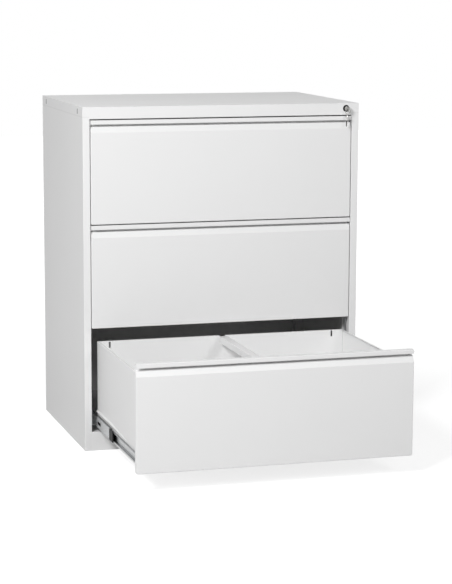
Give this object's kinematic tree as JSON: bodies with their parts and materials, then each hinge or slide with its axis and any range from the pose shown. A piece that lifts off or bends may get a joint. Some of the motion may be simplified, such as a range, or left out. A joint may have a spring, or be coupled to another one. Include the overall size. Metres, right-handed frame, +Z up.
{
  "type": "lateral filing cabinet",
  "caption": "White sheet-steel lateral filing cabinet: stacked full-width drawers on telescopic slides, finger-groove fronts, top-rail lock with bar and keys, bottom drawer open.",
  "frame": {"origin": "on the floor, under the middle of the plinth's front face", "axes": "+X to the cabinet's right as seen from the front, +Y to its back, +Z up"},
  "size_m": [0.9, 1.189, 1.08],
  "materials": {
    "powder_coat": "fine-textured white powder coat",
    "zinc_steel": "bright zinc plate",
    "black_plastic": "moulded, matt",
    "nickel_plate": "bright nickel plate",
    "black_housing": "black coated zinc casting"
  },
  "bodies": {
    "carcass": {"side_panel_left": "powder_coat", "side_panel_right": "powder_coat", "top_panel": "powder_coat", "top_rail": "powder_coat", "plinth": "powder_coat", "base_pan": "powder_coat", "back_panel": "powder_coat", "post_front_left": "powder_coat", "post_front_right": "powder_coat", "post_rear_left": "powder_coat", "post_rear_right": "powder_coat", "outer_slide_left_1": "zinc_steel", "outer_slide_right_1": "zinc_steel", "outer_slide_left_2": "zinc_steel", "outer_slide_right_2": "zinc_steel", "outer_slide_left_3": "zinc_steel", "outer_slide_right_3": "zinc_steel", "lock_housing": "black_housing", "lock_nut": "zinc_steel", "lock_bar_guides": "black_plastic"},
    "drawer_1": {"front_skin_1": "powder_coat", "front_liner_1": "powder_coat", "tray_1": "powder_coat", "tray_back_1": "powder_coat", "centre_rail_1": "powder_coat", "inner_slide_left_1": "zinc_steel", "inner_slide_right_1": "zinc_steel", "lock_catch_1": "zinc_steel"},
    "runner_1": {"middle_slide_left_1": "zinc_steel", "middle_slide_right_1": "zinc_steel", "slide_plastic_1": "black_plastic"},
    "drawer_2": {"front_skin_2": "powder_coat", "front_liner_2": "powder_coat", "tray_2": "powder_coat", "tray_back_2": "powder_coat", "centre_rail_2": "powder_coat", "inner_slide_left_2": "zinc_steel", "inner_slide_right_2": "zinc_steel", "lock_catch_2": "zinc_steel"},
    "runner_2": {"middle_slide_left_2": "zinc_steel", "middle_slide_right_2": "zinc_steel", "slide_plastic_2": "black_plastic"},
    "drawer_3": {"front_skin_3": "powder_coat", "front_liner_3": "powder_coat", "tray_3": "powder_coat", "tray_back_3": "powder_coat", "centre_rail_3": "powder_coat", "inner_slide_left_3": "zinc_steel", "inner_slide_right_3": "zinc_steel", "lock_catch_3": "zinc_steel"},
    "runner_3": {"middle_slide_left_3": "zinc_steel", "middle_slide_right_3": "zinc_steel", "slide_plastic_3": "black_plastic"},
    "lock_plug": {"lock_plug": "nickel_plate", "lock_cam": "zinc_steel"},
    "lock_bar": {"lock_bar": "zinc_steel", "lock_bar_tabs": "zinc_steel"},
    "key": {"key": "nickel_plate"},
    "key_ring": {"key_ring": "nickel_plate"}
  },
  "joints": [
    {"name": "drawer_1_slide", "type": "slide", "parent": "carcass", "child": "drawer_1", "axis": [0, -1, 0], "range_m": [-0.569, 0]},
    {"name": "runner_1_slide", "type": "slide", "parent": "carcass", "child": "runner_1", "axis": [0, -1, 0], "range_m": [-0.2845, 0]},
    {"name": "drawer_2_slide", "type": "slide", "parent": "carcass", "child": "drawer_2", "axis": [0, -1, 0], "range_m": [0, 0.569]},
    {"name": "runner_2_slide", "type": "slide", "parent": "carcass", "child": "runner_2", "axis": [0, -1, 0], "range_m": [0, 0.2845]},
    {"name": "drawer_3_slide", "type": "slide", "parent": "carcass", "child": "drawer_3", "axis": [0, -1, 0], "range_m": [0, 0.569]},
    {"name": "runner_3_slide", "type": "slide", "parent": "carcass", "child": "runner_3", "axis": [0, -1, 0], "range_m": [0, 0.2845]},
    {"name": "plug_turn", "type": "hinge", "parent": "carcass", "child": "lock_plug", "pos_m": [0.408, 0, 1.0635], "axis": [0, -1, 0], "range_deg": [0, 90]},
    {"name": "bar_lift", "type": "slide", "parent": "carcass", "child": "lock_bar", "axis": [0, 0, 1], "range_m": [0, 0.01697]},
    {"name": "key_pull", "type": "slide", "parent": "lock_plug", "child": "key", "axis": [0, -1, 0], "range_m": [0, 0.03]},
    {"name": "ring_swing", "type": "hinge", "parent": "key", "child": "key_ring", "pos_m": [0.408, -0.016, 1.0635], "axis": [1, 0, 0], "range_deg": [-40, 8]}
  ],
  "couplings": [
    {"joint": "runner_1_slide", "follows": "drawer_1_slide", "ratio": 0.5},
    {"joint": "runner_2_slide", "follows": "drawer_2_slide", "ratio": 0.5},
    {"joint": "runner_3_slide", "follows": "drawer_3_slide", "ratio": 0.5},
    {"joint": "plug_turn", "follows": "bar_lift", "rad_per_m": 92.56}
  ]
}
